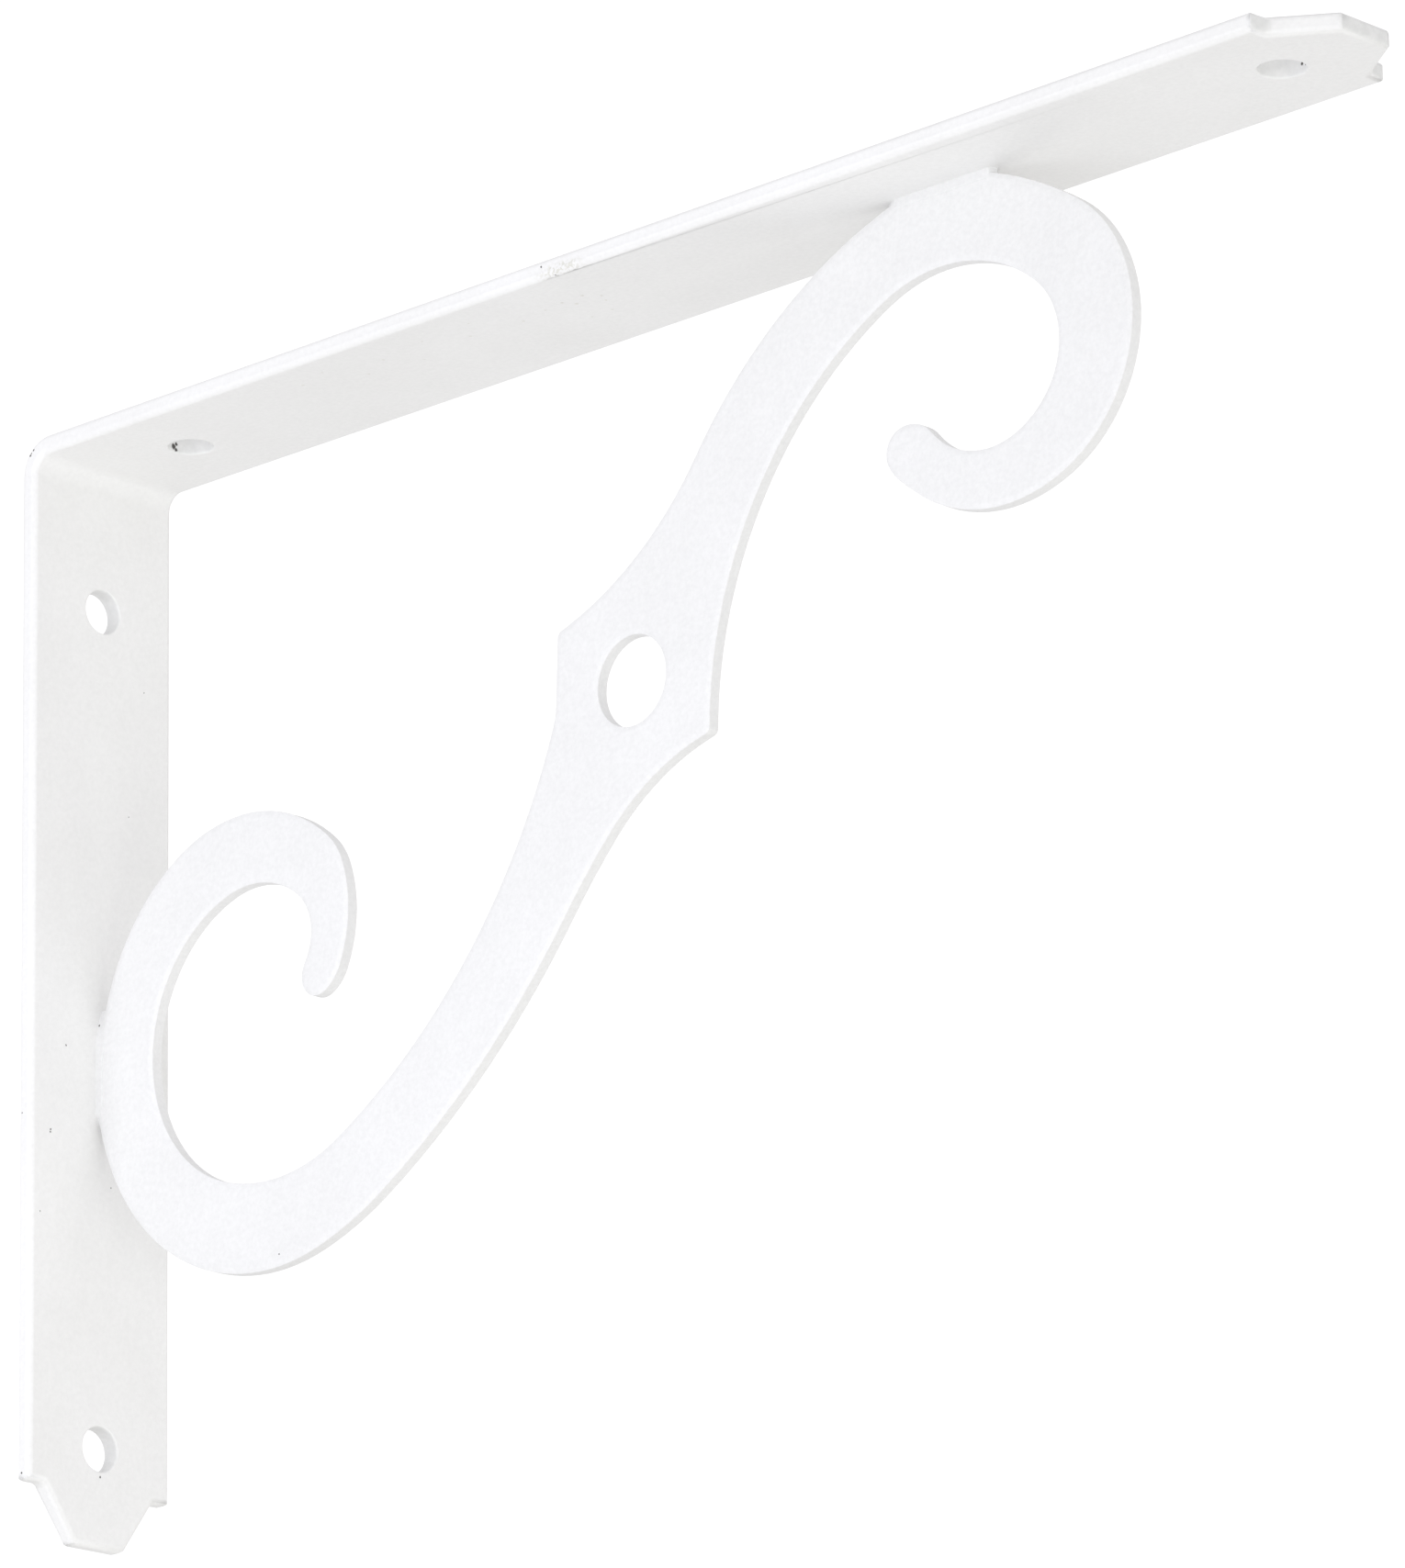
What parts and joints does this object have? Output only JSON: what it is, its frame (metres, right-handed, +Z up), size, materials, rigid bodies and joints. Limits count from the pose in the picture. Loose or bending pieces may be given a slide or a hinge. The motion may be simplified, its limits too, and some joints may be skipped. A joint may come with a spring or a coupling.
{
  "type": "scroll shelf bracket",
  "caption": "Right-angle shelf bracket: a flat strip bent square, with arrow-shaped ends and screw holes, braced by a flat scroll plate with curled ends and a round hole.",
  "frame": {"origin": "on the back of the wall leg, on its centreline, midway between its two screw holes", "axes": "+X out from the wall along the shelf leg, +Y across the strip, +Z up the wall"},
  "size_m": [0.225, 0.025, 0.15],
  "materials": {
    "white_coat": "white powder coat over steel, satin, with a fine orange-peel texture and soft arrises"
  },
  "bodies": {
    "root": {"angle_strip": "white_coat", "scroll_brace": "white_coat"}
  },
  "joints": []
}
